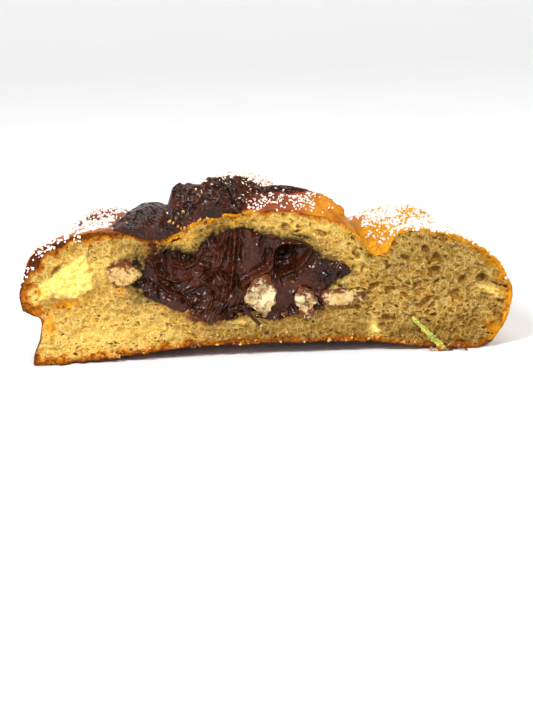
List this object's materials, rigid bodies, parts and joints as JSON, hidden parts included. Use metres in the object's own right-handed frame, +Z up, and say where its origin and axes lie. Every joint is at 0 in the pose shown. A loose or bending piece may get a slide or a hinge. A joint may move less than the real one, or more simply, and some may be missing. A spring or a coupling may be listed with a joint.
{
  "type": "halved pan de muerto",
  "caption": "Half of a round sugared sweet bread with raised ridges and a knob on top, cut open on a chocolate spread and cream filling, resting on its flat base.",
  "frame": {"origin": "middle of the underside of the bounding box, on the surface that the bread rests on", "axes": "+Z up, -Y out of the cut face, +X to the right along the cut as one looks at it"},
  "size_m": [0.124, 0.0626, 0.0458],
  "materials": {
    "crust_and_crumb": "open pale yellow crumb at the cut, browned crust with coarse white sugar outside",
    "chocolate": "soft glossy dark chocolate spread with folds and drawn peaks",
    "cream": "satin off-white cream with chocolate smears"
  },
  "bodies": {
    "root": {"bread": "crust_and_crumb", "chocolate_filling": "chocolate", "chocolate_coat": "chocolate", "cream_lump_left": "cream", "cream_lump_middle": "cream", "cream_lump_right": "cream", "cream_lump_end": "cream"}
  },
  "joints": []
}
